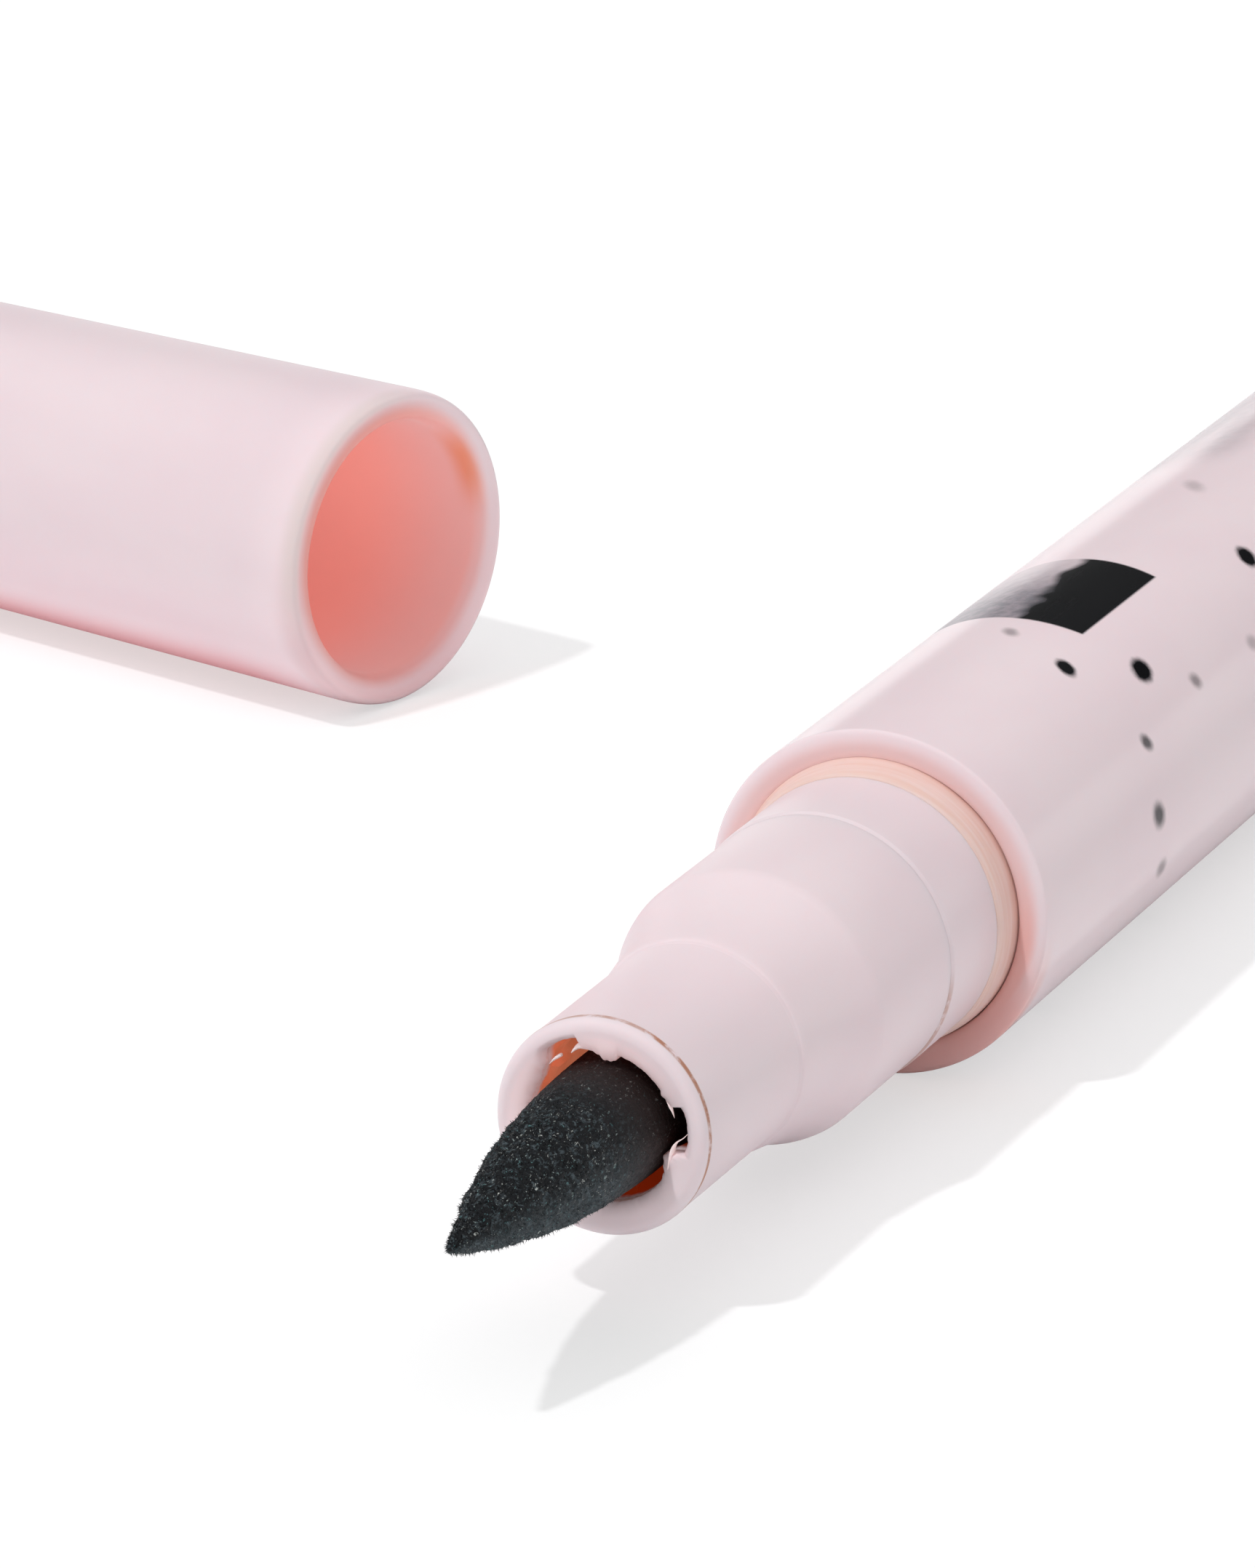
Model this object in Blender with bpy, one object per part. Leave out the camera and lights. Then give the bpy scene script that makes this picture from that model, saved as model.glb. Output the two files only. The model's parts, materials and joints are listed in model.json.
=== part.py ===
"""Felt-tip freckle pen, lying open with its cap drawn off and laid beside it.

Metres, +Z up, on a surface at Z = 0. The pen lies along X with its nib towards -X, and the cap lies on
its +Y side. The origin is at the bottom centre of the box round both.

Every piece is turned about the axis of the pen or of the cap, apart from the ribs in the nib holder, so
each is drawn as an outline of points (along, radius) in the frame of an empty on that axis. On the pen,
along is counted from the barrel's mouth towards the nib. On the cap, it is counted from the cap's mouth
towards its closed end.
"""

from math import atan2, ceil, cos, radians, sin

import bmesh
import bpy
from mathutils import Matrix, Vector

MM = 0.001

# Barrel: a straight tube with a half-round lip at its mouth
BARREL_RADIUS = 5.25 * MM
BARREL_WALL = 0.88 * MM
BARREL_LENGTH = 85.0 * MM
LIP_RISE = 0.2 * MM

# Seal ring: it fills the barrel's mouth round the collar's foot, and slopes up onto the collar
RING_GAP = 0.06 * MM
RING_RISE = 0.17 * MM
RING_REACH = 1.1 * MM
RING_DEPTH = 1.0 * MM
RING_THICKNESS = 0.36 * MM

# Collar: the moulding that the cap slides over, with a skirt pressed into the barrel
COLLAR_LENGTH = 4.55 * MM
COLLAR_WALL = 0.74 * MM
SKIRT_LENGTH = 7.0 * MM

# Nose section: the collar's front half, the shoulder and the nose, with a spigot pressed into the collar
COLLAR_STEP = 0.06 * MM
SHOULDER_START = 9.5 * MM
SHOULDER_LENGTH = 3.9 * MM
SHOULDER_FALL = 0.95 * MM
NOSE_LENGTH = 6.1 * MM
NOSE_SOCKET_DEPTH = 4.2 * MM
SPIGOT_LENGTH = 8.5 * MM
# Shares of the shoulder's length and of its fall in radius: a quick turn in, a hollow run, a small step
SHOULDER_SHARES = (
    (0.0, 0.0),
    (0.06, 0.06),
    (0.13, 0.16),
    (0.28, 0.35),
    (0.51, 0.59),
    (0.74, 0.74),
    (0.95, 0.83),
    (1.0, 1.0),
)

# Nib holder: an insert with a half-round lip over the nose's end and ribs round the nib
HOLDER_LIP_WIDTH = 0.71 * MM
HOLDER_LIP_RISE = 0.4 * MM
HOLDER_WALL = 0.28 * MM
RIB_COUNT = 6
RIB_FIRST_ANGLE = 8.0
RIB_HEIGHT = 0.325 * MM
RIB_WIDTH = 0.62 * MM
RIB_SETBACK = 0.45 * MM
RIB_LEAD = 0.5 * MM

# Nib: a fibre rod ground to a full, pointed tip
NIB_REACH = 10.03 * MM
NIB_POINT_LENGTH = 11.0 * MM
NIB_FULLNESS = 2.1
NIB_TIP_RADIUS = 0.13 * MM
NIB_REAR_DEPTH = 5.6 * MM
NIB_REAR_BEVEL = 0.35 * MM

# Ink wad, and the film round it
FILM_SPACE = 0.29 * MM
FILM_THICKNESS = 0.15 * MM
SOCKET_SPARE = 0.4 * MM

# Tail plug: a cup pressed into the barrel's tail, with a flat flange
PLUG_STEP = 0.1 * MM
PLUG_FLANGE = 2.0 * MM
PLUG_SPIGOT_LENGTH = 6.0 * MM
PLUG_WALL = 0.8 * MM
PLUG_ROUND = 0.5 * MM

# Cap shell: a tube flush with the barrel, which narrows a little from its half-round mouth to a flat end
CAP_LENGTH = 51.0 * MM
CAP_NARROWING = 0.56 * MM
CAP_LIP_RISE = 0.35 * MM
CAP_LEDGE = 0.42 * MM
CAP_END_WALL = 1.4 * MM
CAP_END_ROUND = 0.6 * MM
CAP_CORNER_ROUND = 0.8 * MM

# Cap liner: the inner cup that closes on the nose, hung by a flange on the ledge in the cap's bore
LINER_OVERLAP = 0.45 * MM
LINER_FLANGE = 0.7 * MM
LINER_BOTTOM = 0.7 * MM
LINER_LEAD = 0.8 * MM
LINER_LEAD_GROWTH = 0.3 * MM

# Where the cap lies: its mouth's centre from the barrel's mouth, and its axis turned from +Y towards +X
CAP_MOUTH_BACK = 25.19 * MM
CAP_MOUTH_ASIDE = 27.34 * MM
CAP_TURN = 15.8

# Clearances within the pen: a seam that shows, a pressed fit, the nib in its channel, two ends that meet
SEAM = 0.05 * MM
FIT = 0.12 * MM
NIB_CLEARANCE = 0.25 * MM
END_GAP = 0.3 * MM

# Clearances of the closed cap: mouth to mouth, bore to collar, liner to nose, liner's floor to nib
CAP_SEAT = 0.35 * MM
CAP_CLEARANCE = 0.08 * MM
LINER_CLEARANCE = 0.07 * MM
NIB_ROOM = 0.72 * MM

# How far the ribs stop short of the holder's back end
RIB_BACK_GAP = 0.1 * MM

SIDES = 48
ARC_STEP_DEGREES = 22.5
NIB_RINGS = 12
MERGE_SHARE = 1e-4
SHARP_ANGLE = 35.0

# Radii, from the barrel inwards
BARREL_BORE = BARREL_RADIUS - BARREL_WALL
RING_RADIUS = BARREL_BORE - RING_GAP
COLLAR_RADIUS = RING_RADIUS - RING_RISE
COLLAR_BORE = COLLAR_RADIUS - COLLAR_WALL
FRONT_RADIUS = COLLAR_RADIUS - COLLAR_STEP
NOSE_RADIUS = FRONT_RADIUS - SHOULDER_FALL
HOLDER_BORE = NOSE_RADIUS - HOLDER_LIP_WIDTH
NIB_CHANNEL = HOLDER_BORE - RIB_HEIGHT
NIB_RADIUS = NIB_CHANNEL - NIB_CLEARANCE
FILM_RADIUS = BARREL_BORE - FILM_SPACE
WAD_RADIUS = FILM_RADIUS - FILM_THICKNESS - SEAM
CAP_MOUTH_RADIUS = BARREL_RADIUS
CAP_END_RADIUS = CAP_MOUTH_RADIUS - CAP_NARROWING
CAP_BORE = COLLAR_RADIUS + CAP_CLEARANCE
CAP_INNER_BORE = CAP_BORE - CAP_LEDGE
LINER_BORE = NOSE_RADIUS + LINER_CLEARANCE

# Places along the pen
NOSE_START = SHOULDER_START + SHOULDER_LENGTH
NOSE_END = NOSE_START + NOSE_LENGTH
NIB_TIP = NOSE_END + NIB_REACH
HOLDER_START = NOSE_END + SEAM
HOLDER_BACK = NOSE_END - NOSE_SOCKET_DEPTH + END_GAP
WAD_FRONT = -SKIRT_LENGTH - END_GAP
NIB_BACK = WAD_FRONT - NIB_REAR_DEPTH
PLUG_START = -BARREL_LENGTH - SEAM
PEN_TAIL = PLUG_START - PLUG_FLANGE
SPIGOT_FRONT = -BARREL_LENGTH + PLUG_SPIGOT_LENGTH
WAD_BACK = SPIGOT_FRONT + END_GAP

# Places along the cap
LINER_MOUTH = NOSE_START - CAP_SEAT - LINER_OVERLAP
LINER_FLOOR = NIB_TIP - CAP_SEAT + NIB_ROOM
LEDGE = LINER_MOUTH + LINER_FLANGE + SEAM

# Places in the world: the cap's narrowing tips its axis down, so that it lies along its whole underside
CAP_TILT = atan2(CAP_NARROWING, CAP_LENGTH - CAP_LIP_RISE - CAP_END_ROUND)
CAP_REACH = (
    CAP_MOUTH_ASIDE
    + (CAP_LENGTH - CAP_END_ROUND) * cos(CAP_TILT) * cos(radians(CAP_TURN))
    + (CAP_END_RADIUS - CAP_END_ROUND) * sin(radians(CAP_TURN))
    + CAP_END_ROUND
)
PEN_MOUTH = Vector(((NIB_TIP + PEN_TAIL) / 2, (BARREL_RADIUS - CAP_REACH) / 2, BARREL_RADIUS))
PEN_FORWARD = Vector((-1, 0, 0))
CAP_MOUTH = PEN_MOUTH + Vector((CAP_MOUTH_BACK, CAP_MOUTH_ASIDE, 0))
CAP_MOUTH.z = CAP_MOUTH_RADIUS * cos(CAP_TILT) + CAP_LIP_RISE * sin(CAP_TILT)
CAP_INWARD = Vector(
    (
        sin(radians(CAP_TURN)) * cos(CAP_TILT),
        cos(radians(CAP_TURN)) * cos(CAP_TILT),
        -sin(CAP_TILT),
    )
)


def clear_scene():
    for obj in list(bpy.data.objects):
        bpy.data.objects.remove(obj, do_unlink=True)


def screen_colour(red, green, blue):
    """A colour picked off a screen, 0 to 255, as the linear values that a material takes."""
    linear = []
    for value in (red, green, blue):
        share = value / 255
        linear.append(share / 12.92 if share <= 0.04045 else ((share + 0.055) / 1.055) ** 2.4)
    return (*linear, 1.0)


def plain_material(name, colour, roughness):
    material = bpy.data.materials.new(name)
    material.use_nodes = True
    shader = material.node_tree.nodes["Principled BSDF"]
    shader.inputs["Base Color"].default_value = colour
    shader.inputs["Roughness"].default_value = roughness
    shader.inputs["Metallic"].default_value = 0.0
    material.diffuse_color = colour
    return material


def axis_empty(name, place, forward):
    """An empty at place whose +Z points forward and whose +X points up, as near as forward lets it."""
    side = forward.cross(Vector((0, 0, 1))).normalized()
    up = side.cross(forward)
    empty = bpy.data.objects.new(name, None)
    empty.empty_display_type = "ARROWS"
    empty.empty_display_size = BARREL_RADIUS
    turn = Matrix((up, side, forward)).transposed()
    empty.matrix_world = Matrix.Translation(place) @ turn.to_4x4()
    bpy.context.scene.collection.objects.link(empty)
    return empty


def arc(along, radius, rise, reach, start, end):
    """Points of an ellipse about (along, radius), by angle from straight out towards +along."""
    steps = max(1, ceil(abs(end - start) / ARC_STEP_DEGREES))
    points = []
    for step in range(steps + 1):
        angle = radians(start + (end - start) * step / steps)
        points.append((along + rise * sin(angle), radius + reach * cos(angle)))
    return points


def object_from(name, mesh_builder, axis, material):
    mesh = bpy.data.meshes.new(name)
    mesh_builder.to_mesh(mesh)
    mesh_builder.free()
    mesh.shade_smooth()
    mesh.set_sharp_from_angle(angle=radians(SHARP_ANGLE))
    mesh.materials.append(material)
    obj = bpy.data.objects.new(name, mesh)
    obj.parent = axis
    bpy.context.scene.collection.objects.link(obj)
    return obj


def turned(name, outline, axis, material):
    """Spins an outline once round. One whose ends both lie on the axis stays open there."""
    builder = bmesh.new()
    points = [builder.verts.new((radius, 0, along)) for along, radius in outline]
    edges = [builder.edges.new(pair) for pair in zip(points, points[1:])]
    if outline[0][1] or outline[-1][1]:
        edges.append(builder.edges.new((points[-1], points[0])))
    bmesh.ops.spin(
        builder,
        geom=points + edges,
        axis=(0, 0, 1),
        cent=(0, 0, 0),
        angle=radians(360),
        steps=SIDES,
        use_merge=True,
    )
    bmesh.ops.remove_doubles(builder, verts=builder.verts, dist=NIB_TIP_RADIUS * MERGE_SHARE)
    bmesh.ops.recalc_face_normals(builder, faces=builder.faces)
    return object_from(name, builder, axis, material)


# Pen

def make_barrel(axis, material):
    outline = [(-BARREL_LENGTH, BARREL_RADIUS)]
    outline += arc(0, BARREL_RADIUS - BARREL_WALL / 2, LIP_RISE, BARREL_WALL / 2, 0, 180)
    outline += [(-BARREL_LENGTH, BARREL_BORE)]
    return turned("barrel", outline, axis, material)


def make_collar(axis, material):
    """The collar's groove, at its foot, holds the seal ring between the skirt and the front part."""
    skirt = BARREL_BORE - FIT
    groove = RING_RADIUS - RING_THICKNESS - SEAM
    outline = [
        (COLLAR_LENGTH, COLLAR_BORE),
        (COLLAR_LENGTH, COLLAR_RADIUS),
        (RING_REACH + SEAM, COLLAR_RADIUS),
        (RING_REACH + SEAM, groove),
        (-RING_DEPTH - SEAM, groove),
        (-RING_DEPTH - SEAM, skirt),
        (-SKIRT_LENGTH, skirt),
        (-SKIRT_LENGTH, COLLAR_BORE),
    ]
    return turned("collar", outline, axis, material)


def make_seal_ring(axis, material):
    inside = RING_RADIUS - RING_THICKNESS
    outline = [(-RING_DEPTH, inside), (-RING_DEPTH, RING_RADIUS)]
    outline += arc(0, COLLAR_RADIUS, RING_REACH, RING_RISE, 0, 90)
    outline += [(RING_REACH, inside)]
    return turned("section_seal_ring", outline, axis, material)


def make_nose_section(axis, material):
    front = COLLAR_LENGTH + SEAM
    spigot = COLLAR_BORE - FIT
    socket = HOLDER_BORE + HOLDER_WALL + SEAM
    outline = [(front - SPIGOT_LENGTH, NIB_CHANNEL), (front - SPIGOT_LENGTH, spigot), (front, spigot)]
    outline += [(front, FRONT_RADIUS)]
    for length_share, fall_share in SHOULDER_SHARES:
        along = SHOULDER_START + length_share * SHOULDER_LENGTH
        outline += [(along, FRONT_RADIUS - fall_share * SHOULDER_FALL)]
    outline += [
        (NOSE_END, NOSE_RADIUS),
        (NOSE_END, socket),
        (NOSE_END - NOSE_SOCKET_DEPTH, socket),
        (NOSE_END - NOSE_SOCKET_DEPTH, NIB_CHANNEL),
    ]
    return turned("nose_section", outline, axis, material)


def rib_guide(axis, material):
    """The ribs as one set of wedges, each starting as a slope behind the lip."""
    front = HOLDER_START - RIB_SETBACK
    foot = HOLDER_BORE + HOLDER_WALL / 2
    back = HOLDER_BACK + RIB_BACK_GAP
    side_view = [(back, foot), (back, NIB_CHANNEL), (front - RIB_LEAD, NIB_CHANNEL), (front, foot)]
    builder = bmesh.new()
    for rib in range(RIB_COUNT):
        turn = Matrix.Rotation(radians(RIB_FIRST_ANGLE + rib * 360 / RIB_COUNT), 4, "Z")
        corners = [
            builder.verts.new(turn @ Vector((radius, -RIB_WIDTH / 2, along)))
            for along, radius in side_view
        ]
        face = builder.faces.new(corners)
        grown = bmesh.ops.extrude_face_region(builder, geom=[face])["geom"]
        moved = [item for item in grown if isinstance(item, bmesh.types.BMVert)]
        bmesh.ops.translate(builder, vec=turn @ Vector((0, RIB_WIDTH, 0)), verts=moved)
    bmesh.ops.recalc_face_normals(builder, faces=builder.faces)
    guide = object_from("rib_guide", builder, axis, material)
    guide.hide_render = True
    guide.display_type = "WIRE"
    return guide


def make_nib_holder(axis, material):
    outside = HOLDER_BORE + HOLDER_WALL
    half_lip = HOLDER_LIP_WIDTH / 2
    outline = [(HOLDER_BACK, HOLDER_BORE), (HOLDER_BACK, outside), (HOLDER_START, outside)]
    outline += arc(HOLDER_START, HOLDER_BORE + half_lip, HOLDER_LIP_RISE, half_lip, 0, 180)
    holder = turned("nib_holder", outline, axis, material)
    ribs = holder.modifiers.new("ribs", "BOOLEAN")
    ribs.operation = "UNION"
    ribs.solver = "EXACT"
    ribs.object = rib_guide(axis, material)
    return holder


def make_nib(axis, material):
    """The rod's radius falls towards the tip by a power of the share of the point's length."""
    outline = [(NIB_BACK, 0), (NIB_BACK, NIB_RADIUS - NIB_REAR_BEVEL)]
    outline += [(NIB_BACK + NIB_REAR_BEVEL, NIB_RADIUS)]
    tip_centre = NIB_TIP - NIB_TIP_RADIUS
    last = (1 - NIB_TIP_RADIUS / NIB_RADIUS) ** (1 / NIB_FULLNESS)
    for ring in range(NIB_RINGS + 1):
        share = last * ring / NIB_RINGS
        along = tip_centre - NIB_POINT_LENGTH * (1 - ring / NIB_RINGS)
        outline += [(along, NIB_RADIUS * (1 - share**NIB_FULLNESS))]
    outline += arc(tip_centre, 0, NIB_TIP_RADIUS, NIB_TIP_RADIUS, 0, 90)[1:-1]
    outline += [(NIB_TIP, 0)]
    return turned("nib", outline, axis, material)


def make_wad(axis, material):
    hole = NIB_RADIUS + NIB_CLEARANCE / 2
    hole_bottom = NIB_BACK - SOCKET_SPARE
    outline = [
        (hole_bottom, 0),
        (hole_bottom, hole),
        (WAD_FRONT, hole),
        (WAD_FRONT, WAD_RADIUS),
        (WAD_BACK, WAD_RADIUS),
        (WAD_BACK, 0),
    ]
    return turned("reservoir", outline, axis, material)


def make_film(axis, material):
    inside = FILM_RADIUS - FILM_THICKNESS
    outline = [(WAD_FRONT, inside), (WAD_FRONT, FILM_RADIUS), (WAD_BACK, FILM_RADIUS), (WAD_BACK, inside)]
    return turned("reservoir_sleeve", outline, axis, material)


def make_tail_plug(axis, material):
    spigot = BARREL_BORE - FIT
    flange = BARREL_RADIUS - PLUG_STEP
    outline = [(PLUG_START, 0), (PLUG_START, spigot - PLUG_WALL), (SPIGOT_FRONT, spigot - PLUG_WALL)]
    outline += [(SPIGOT_FRONT, spigot), (PLUG_START, spigot), (PLUG_START, flange)]
    outline += arc(PEN_TAIL + PLUG_ROUND, flange - PLUG_ROUND, PLUG_ROUND, PLUG_ROUND, 0, -90)
    outline += [(PEN_TAIL, 0)]
    return turned("tail_plug", outline, axis, material)


# Cap

def make_cap_shell(axis, material):
    wall = CAP_MOUTH_RADIUS - CAP_BORE
    middle = (CAP_MOUTH_RADIUS + CAP_BORE) / 2
    floor = CAP_LENGTH - CAP_END_WALL
    outline = [(CAP_LENGTH, 0)]
    outline += arc(
        CAP_LENGTH - CAP_END_ROUND, CAP_END_RADIUS - CAP_END_ROUND, CAP_END_ROUND, CAP_END_ROUND, 90, 0
    )
    outline += arc(CAP_LIP_RISE, middle, -CAP_LIP_RISE, wall / 2, 0, 180)
    outline += [(LEDGE, CAP_BORE), (LEDGE, CAP_INNER_BORE)]
    outline += arc(
        floor - CAP_CORNER_ROUND,
        CAP_INNER_BORE - CAP_CORNER_ROUND,
        CAP_CORNER_ROUND,
        CAP_CORNER_ROUND,
        0,
        90,
    )
    outline += [(floor, 0)]
    return turned("cap_shell", outline, axis, material)


def make_cap_liner(axis, material):
    flange_back = LINER_MOUTH + LINER_FLANGE
    bottom = LINER_FLOOR + LINER_BOTTOM
    outline = [
        (bottom, 0),
        (bottom, CAP_INNER_BORE - FIT),
        (flange_back, CAP_INNER_BORE - FIT),
        (flange_back, CAP_BORE - FIT),
        (LINER_MOUTH, CAP_BORE - FIT),
        (LINER_MOUTH, LINER_BORE + LINER_LEAD_GROWTH),
        (LINER_MOUTH + LINER_LEAD, LINER_BORE),
        (LINER_FLOOR, LINER_BORE),
        (LINER_FLOOR, 0),
    ]
    return turned("cap_liner", outline, axis, material)


def main():
    clear_scene()
    shell = plain_material("shell_plastic", screen_colour(230, 211, 216), 0.35)
    holder = plain_material("holder_plastic", screen_colour(232, 214, 212), 0.35)
    ring = plain_material("ring_plastic", screen_colour(235, 200, 180), 0.45)
    fibre = plain_material("nib_fibre", screen_colour(44, 47, 50), 0.9)
    wad = plain_material("wad_fibre", screen_colour(96, 66, 54), 0.95)
    film = plain_material("clear_film", screen_colour(226, 226, 222), 0.2)
    lining = plain_material("liner_plastic", screen_colour(226, 130, 120), 0.4)

    pen = axis_empty("pen_axis", PEN_MOUTH, PEN_FORWARD)
    make_barrel(pen, shell)
    make_collar(pen, shell)
    make_seal_ring(pen, ring)
    make_nose_section(pen, shell)
    make_nib_holder(pen, holder)
    make_nib(pen, fibre)
    make_wad(pen, wad)
    make_film(pen, film)
    make_tail_plug(pen, shell)

    cap = axis_empty("cap_axis", CAP_MOUTH, CAP_INWARD)
    make_cap_shell(cap, shell)
    make_cap_liner(cap, lining)


main()
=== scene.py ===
"""Felt-tip freckle pen, open, with its cap laid beside it: the finish of every piece.

Sizes and places are in millimetres, except for the studio's. Every round piece is drawn about its own axis:
+Z runs along the axis, +X points up, and the origin is the mouth of the barrel or of the cap. Along the pen,
places are counted towards the nib. Along the cap, they are counted towards its closed end. Angles are in
degrees from the top. A pair of numbers under one name is where a change of colour or light starts and ends.
"""

import json
import random
from math import cos, exp, pi, radians, sin

import bmesh
import bpy
from mathutils import Matrix, Vector, noise


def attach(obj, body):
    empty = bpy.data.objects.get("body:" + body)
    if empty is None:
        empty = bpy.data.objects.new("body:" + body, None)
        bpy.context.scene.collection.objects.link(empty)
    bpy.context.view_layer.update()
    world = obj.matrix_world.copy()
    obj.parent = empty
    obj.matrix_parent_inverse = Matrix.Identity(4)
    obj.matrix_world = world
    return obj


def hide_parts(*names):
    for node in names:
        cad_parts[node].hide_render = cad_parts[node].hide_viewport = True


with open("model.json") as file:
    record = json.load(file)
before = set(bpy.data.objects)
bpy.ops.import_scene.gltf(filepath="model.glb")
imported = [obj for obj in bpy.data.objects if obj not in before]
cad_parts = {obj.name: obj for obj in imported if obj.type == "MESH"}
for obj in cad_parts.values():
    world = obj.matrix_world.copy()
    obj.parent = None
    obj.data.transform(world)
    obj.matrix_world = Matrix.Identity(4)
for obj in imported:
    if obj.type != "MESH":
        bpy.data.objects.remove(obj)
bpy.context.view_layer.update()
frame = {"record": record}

mm = 0.001


# Barrel
# A tube of pale pink plastic whose mouth is turned over to a half-round lip. Freckles, a plain black patch
# and a soft grey haze are printed on it. The collar and the tail plug are pressed into its two ends.
barrel_radius = 5.25
barrel_bore = 4.37
barrel_length = 85
barrel_lip_rise = 0.2
barrel_edge = 0.12
tail_beyond_barrel = 2.05
sharp_edge_angle = 40


def axis_place(mount_name, length, direction):
    """Where the pieces about an axis go: their origin is length in from a mount, their +Z runs along the
    mount's axis, or against it where direction is -1, and their +X points up."""
    mounts = {mount["name"]: mount for mount in frame["record"]["mounts"]}
    outward = Vector(mounts[mount_name]["axis"]).normalized()
    forward = outward * direction
    side = forward.cross(Vector((0, 0, 1))).normalized()
    turn = Matrix((side.cross(forward), side, forward)).transposed()
    return Matrix.Translation(Vector(mounts[mount_name]["pos_m"]) - outward * length * mm) @ turn.to_4x4()


pen_place = axis_place("tail_end", barrel_length + tail_beyond_barrel, -1)


def arc(along, radius, rise, reach, start, end, steps=16):
    """Points of an ellipse about (along, radius), by angle from straight out towards the front."""
    angles = [radians(start + (end - start) * step / steps) for step in range(steps + 1)]
    return [(along + rise * sin(angle), radius + reach * cos(angle)) for angle in angles]


def rounded(corners, steps=6):
    """An outline through corners (along, radius, size), each cut back by its size and rounded."""
    points = []
    for index, (along, radius, size) in enumerate(corners):
        corner = Vector((along, radius))
        if not size:
            points.append((along, radius))
            continue
        before = Vector(corners[index - 1][:2])
        after = Vector(corners[(index + 1) % len(corners)][:2])
        start = corner + (before - corner).normalized() * size
        end = corner + (after - corner).normalized() * size
        for step in range(steps + 1):
            share = step / steps
            bend = start.lerp(corner, share).lerp(corner.lerp(end, share), share)
            points.append(tuple(bend))
    return points


def band(near, far):
    """The faces between two rings of corners. A ring may be one corner, given again and again."""
    after = [*range(1, len(near)), 0]
    sides = zip(near, (near[step] for step in after), (far[step] for step in after), far)
    return [tuple(dict.fromkeys(side)) for side in sides]


def new_object(name, data):
    made = bpy.data.objects.new(name, data)
    bpy.context.scene.collection.objects.link(made)
    return made


def new_piece(name, corners, faces, place):
    """A closed piece from its corners and faces, all faces turned outwards, set at its place."""
    mesh = bpy.data.meshes.new(name)
    mesh.from_pydata([Vector(corner) * mm for corner in corners], [], faces)
    builder = bmesh.new()
    builder.from_mesh(mesh)
    bmesh.ops.recalc_face_normals(builder, faces=builder.faces)
    builder.to_mesh(mesh)
    builder.free()
    piece = new_object(name, mesh)
    piece.matrix_world = place
    return piece


def turned(name, outline, place, sides=192, shape=None):
    """A piece turned about its axis from points (along, radius). Where shape is given, it gives the radius
    at each (along, radius, angle)."""
    corners, rings = [], []
    for along, radius in outline:
        if radius == 0:
            rings.append([len(corners)] * sides)
            corners.append((0, 0, along))
            continue
        rings.append(range(len(corners), len(corners) + sides))
        for step in range(sides):
            angle = 2 * pi * step / sides
            reach = shape(along, radius, angle) if shape else radius
            corners.append((reach * cos(angle), reach * sin(angle), along))
    faces = [face for near, far in zip(rings, rings[1:]) for face in band(near, far)]
    if outline[0][1] or outline[-1][1]:
        faces += band(rings[-1], rings[0])
    piece = new_piece(name, corners, faces, place)
    piece.data.shade_smooth()
    piece.data.set_sharp_from_angle(angle=radians(sharp_edge_angle))
    return piece


def finish_piece(piece, material, body, slot, *nodes):
    piece.data.materials.append(material)
    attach(piece, body)
    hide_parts(*nodes)


def tone(red, green, blue):
    """A colour picked off a screen, 0 to 255, as the linear values that a material takes."""
    shares = [value / 255 for value in (red, green, blue)]
    return (*[s / 12.92 if s <= 0.04045 else ((s + 0.055) / 1.055) ** 2.4 for s in shares], 1)


def fill(node, inputs):
    """Gives a node's inputs their values, or joins them to the sockets of other nodes."""
    for name, value in inputs.items():
        if isinstance(value, bpy.types.NodeSocket):
            node.id_data.links.new(value, node.inputs[name])
        else:
            node.inputs[name].default_value = value


def add_node(kind, inputs=None, tree=None, **settings):
    """Adds a node, to a tree or else to that of the first socket that feeds it, and fills its inputs."""
    inputs = inputs or {}
    feeding = [value for value in inputs.values() if isinstance(value, bpy.types.NodeSocket)]
    made = (tree or feeding[0].id_data).nodes.new(kind)
    for setting, value in settings.items():
        setattr(made, setting, value)
    fill(made, inputs)
    return made


def maths(operation, *values):
    return add_node("ShaderNodeMath", dict(enumerate(values)), operation=operation).outputs[0]


def product(first, *others):
    """All the values multiplied together."""
    for other in others:
        first = maths("MULTIPLY", first, other)
    return first


def ramp(value, start, end, low=0, high=1):
    """A smooth change from low, at start, to high, at end."""
    inputs = {"Value": value, "From Min": start, "From Max": end, "To Min": low, "To Max": high}
    return add_node("ShaderNodeMapRange", inputs, interpolation_type="SMOOTHSTEP").outputs[0]


def fade(value, start, end, left=0):
    """A smooth fall from 1, at start, to what is left, at end."""
    return ramp(value, start, end, 1, left)


def mixed(share, first, second, blend_type="MIX"):
    inputs = {0: share, 6: first, 7: second}
    return add_node("ShaderNodeMix", inputs, data_type="RGBA", blend_type=blend_type).outputs[2]


def layered(colour, *layers):
    """A colour with others laid over it in turn, each by its share."""
    for share, over in layers:
        colour = mixed(share, colour, over)
    return colour


def noise_at(place, scale, detail=2, roughness=0.5, distortion=0):
    inputs = {"Vector": place, "Scale": scale, "Detail": detail, "Roughness": roughness}
    return add_node("ShaderNodeTexNoise", inputs | {"Distortion": distortion}).outputs[0]


def streaks_at(place, across, along, **settings):
    """Noise that is finer or coarser across the axis than along it."""
    scales = Vector((across, across, along))
    scaled = add_node("ShaderNodeVectorMath", {0: place, 1: scales}, operation="MULTIPLY").outputs[0]
    return noise_at(scaled, 1, **settings)


def turned_off(angle, middle):
    """How many degrees an angle is off the middle one, the short way round."""
    turn = maths("WRAP", maths("SUBTRACT", angle, middle), 180, -180)
    return maths("ABSOLUTE", turn)


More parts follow.
